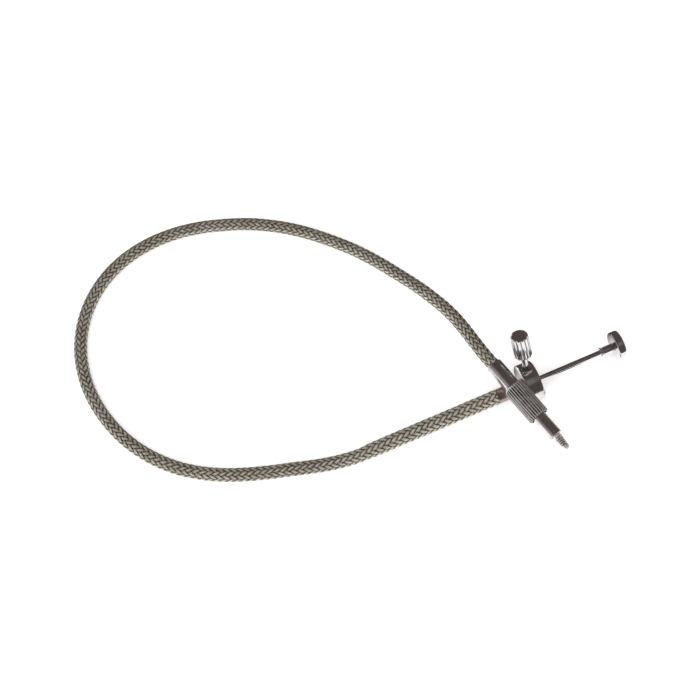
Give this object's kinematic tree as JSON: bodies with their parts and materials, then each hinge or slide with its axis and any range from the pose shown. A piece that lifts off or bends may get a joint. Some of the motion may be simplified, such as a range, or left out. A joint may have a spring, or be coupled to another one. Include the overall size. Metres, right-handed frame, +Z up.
{
  "type": "cable shutter release",
  "caption": "Shutter release: sprung plunger with a finger flange and thumbscrew lock, a braided cable in one open loop, and a fluted swivelling fitting with a conical threaded tip.",
  "frame": {"origin": "on the surface it lies on, under the middle of the bounding box of the handle and camera fitting, without the cable", "axes": "+X along the handle towards the button, seen from above; +Z up; the cable loop lies towards -X and +Y"},
  "size_m": [0.1899, 0.145, 0.0305],
  "materials": {
    "finger_flange": "bright chrome plate",
    "handle_barrel": "plain steel",
    "rod_guide": "turned brass",
    "handle_ferrule": "bright chrome plate",
    "sheath_over_barrel": "woven tinned-wire braid with dull beige-grey strands",
    "cable_sheath": "woven tinned-wire braid with dull beige-grey strands",
    "casing_end_handle": "plain steel",
    "return_spring": "plain steel",
    "rear_sleeve": "bright nickel plate, slightly warm",
    "casing_end_tip": "plain steel",
    "swivel_ring": "turned brass",
    "plunger_button": "bright chrome plate",
    "plunger_boss": "bright chrome plate",
    "plunger_rod": "plain steel",
    "rod_stop": "turned brass",
    "wire_socket": "plain steel",
    "drive_wire_handle": "plain steel",
    "lock_pad": "turned brass",
    "lock_knob": "bright chrome plate",
    "lock_screw": "bright chrome plate",
    "knurled_collar": "bright nickel plate, slightly warm",
    "tip_nose": "bright nickel plate, slightly warm",
    "threaded_tip": "bright nickel plate, slightly warm",
    "release_pin": "plain steel",
    "pin_head": "turned brass",
    "drive_wire_tip": "plain steel"
  },
  "bodies": {
    "handle": {"finger_flange": "finger_flange", "handle_barrel": "handle_barrel", "rod_guide": "rod_guide", "handle_ferrule": "handle_ferrule", "sheath_over_barrel": "sheath_over_barrel", "cable_sheath": "cable_sheath", "casing_end_handle": "casing_end_handle", "return_spring": "return_spring", "rear_sleeve": "rear_sleeve", "casing_end_tip": "casing_end_tip", "swivel_ring": "swivel_ring"},
    "plunger": {"plunger_button": "plunger_button", "plunger_boss": "plunger_boss", "plunger_rod": "plunger_rod", "rod_stop": "rod_stop", "wire_socket": "wire_socket", "drive_wire_handle": "drive_wire_handle"},
    "pad": {"lock_pad": "lock_pad"},
    "thumbscrew": {"lock_knob": "lock_knob", "lock_screw": "lock_screw"},
    "swivel": {"knurled_collar": "knurled_collar", "tip_nose": "tip_nose", "threaded_tip": "threaded_tip"},
    "pin": {"release_pin": "release_pin", "pin_head": "pin_head", "drive_wire_tip": "drive_wire_tip"}
  },
  "joints": [
    {"name": "plunger_slide", "type": "slide", "parent": "handle", "child": "plunger", "axis": [-0.9976, 0, -0.0698], "range_m": [0, 0.0175], "stiffness_N_per_m": 100, "springref_m": -0.01, "deforming": ["return_spring"]},
    {"name": "pin_slide", "type": "slide", "parent": "handle", "child": "pin", "axis": [0.2687, -0.9622, -0.0436], "range_m": [0, 0.0175]},
    {"name": "lock_pad_travel", "type": "slide", "parent": "handle", "child": "pad", "axis": [0.0622, -0.454, -0.8888], "range_m": [0, 0.00075]},
    {"name": "lock_screw_turn", "type": "hinge", "parent": "pad", "child": "thumbscrew", "pos_m": [0.01271, 0.009, 0.00792], "axis": [0.0622, -0.454, -0.8888], "range_deg": [0, 540]},
    {"name": "tip_swivel", "type": "hinge", "parent": "handle", "child": "swivel", "pos_m": [0.00146, 0.01789, 0.01609], "axis": [0.2687, -0.9622, -0.0436], "continuous": true}
  ],
  "couplings": [
    {"joint": "pin_slide", "follows": "plunger_slide", "ratio": 1},
    {"joint": "lock_screw_turn", "follows": "lock_pad_travel", "rad_per_m": 12566}
  ]
}
